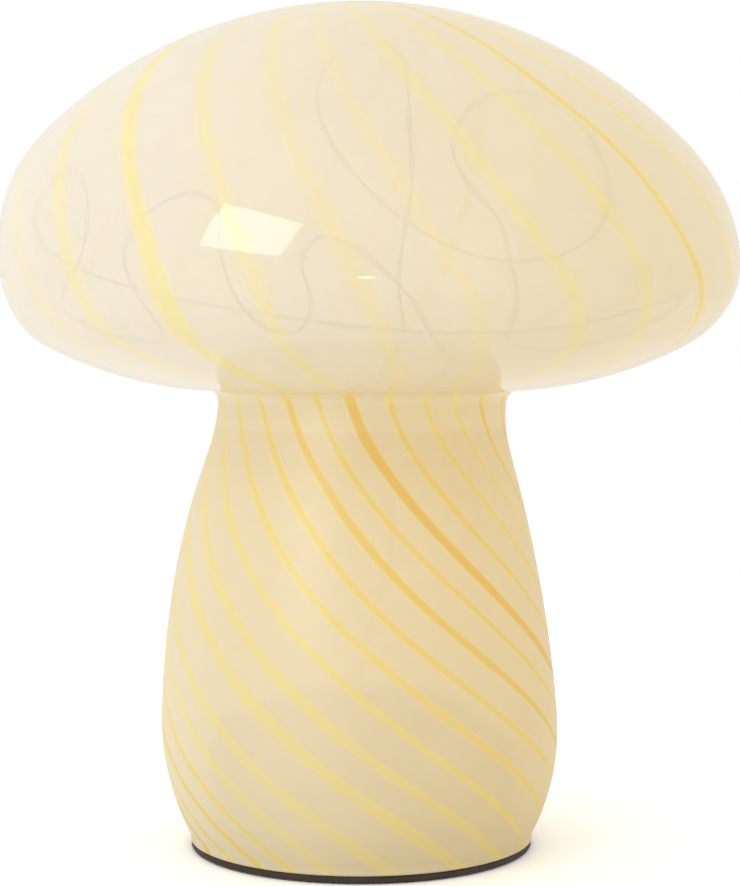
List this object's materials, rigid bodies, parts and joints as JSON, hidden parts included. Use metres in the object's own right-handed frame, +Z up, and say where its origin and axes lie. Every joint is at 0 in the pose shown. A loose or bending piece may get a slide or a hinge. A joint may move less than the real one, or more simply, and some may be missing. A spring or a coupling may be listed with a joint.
{
  "type": "mushroom table lamp",
  "caption": "Battery table lamp with a blown mushroom-shaped body of milky glass and twisted amber canes, a thin black base, a twist-lock battery door, a slide switch and an LED string inside.",
  "frame": {"origin": "on the lamp's axis at the surface it stands on, under the rubber feet", "axes": "+Z up along the lamp's axis; -Y is the front; the switch is on the +X side of the underside"},
  "size_m": [0.1998, 0.1998, 0.2295],
  "materials": {
    "milky_glass": "glossy blown glass, milky cream with twisted amber canes",
    "black_plastic": "fine satin",
    "foot_rubber": "matte",
    "clear_silicone": "satin, translucent",
    "cell_jacket": "glossy sleeve",
    "plated_steel": "bright nickel",
    "circuit_board": "solder mask",
    "chip_plastic": "matte",
    "capacitor_can": "sleeved can",
    "screw_steel": "zinc",
    "switch_plastic": "moulded",
    "knob_plastic": "moulded",
    "grey_plastic": "moulded",
    "lacquered_copper": "lacquered, grey",
    "clear_resin": "clear drops",
    "led_phosphor": "yellow phosphor, unlit",
    "lead_red_pvc": "soft PVC",
    "lead_black_pvc": "soft PVC"
  },
  "bodies": {
    "lamp": {"glass_body": "milky_glass", "base_housing": "black_plastic", "rubber_feet": "foot_rubber", "foot_seal": "clear_silicone", "cell_left": "cell_jacket", "cell_middle": "cell_jacket", "cell_right": "cell_jacket", "contact_positive": "plated_steel", "contact_negative": "plated_steel", "link_front": "plated_steel", "link_rear": "plated_steel", "contact_springs": "plated_steel", "timer_board": "circuit_board", "timer_chip": "chip_plastic", "board_capacitor": "capacitor_can", "board_resistors": "chip_plastic", "board_screws": "screw_steel", "switch_body": "switch_plastic", "housing_cover": "grey_plastic", "cover_screws": "screw_steel", "wire_grommet": "foot_rubber", "led_wire": "lacquered_copper", "led_beads": "clear_resin", "led_chips": "led_phosphor", "lead_red": "lead_red_pvc", "lead_black": "lead_black_pvc"},
    "door": {"battery_door": "black_plastic"},
    "knob": {"switch_knob": "knob_plastic"}
  },
  "joints": [
    {"name": "door_turn", "type": "hinge", "parent": "lamp", "child": "door", "pos_m": [0, 0, 0.0012], "axis": [0, 0, 1], "range_deg": [0, 18]},
    {"name": "switch_slide", "type": "slide", "parent": "lamp", "child": "knob", "axis": [0, 1, 0], "range_m": [-0.002, 0.002]}
  ]
}
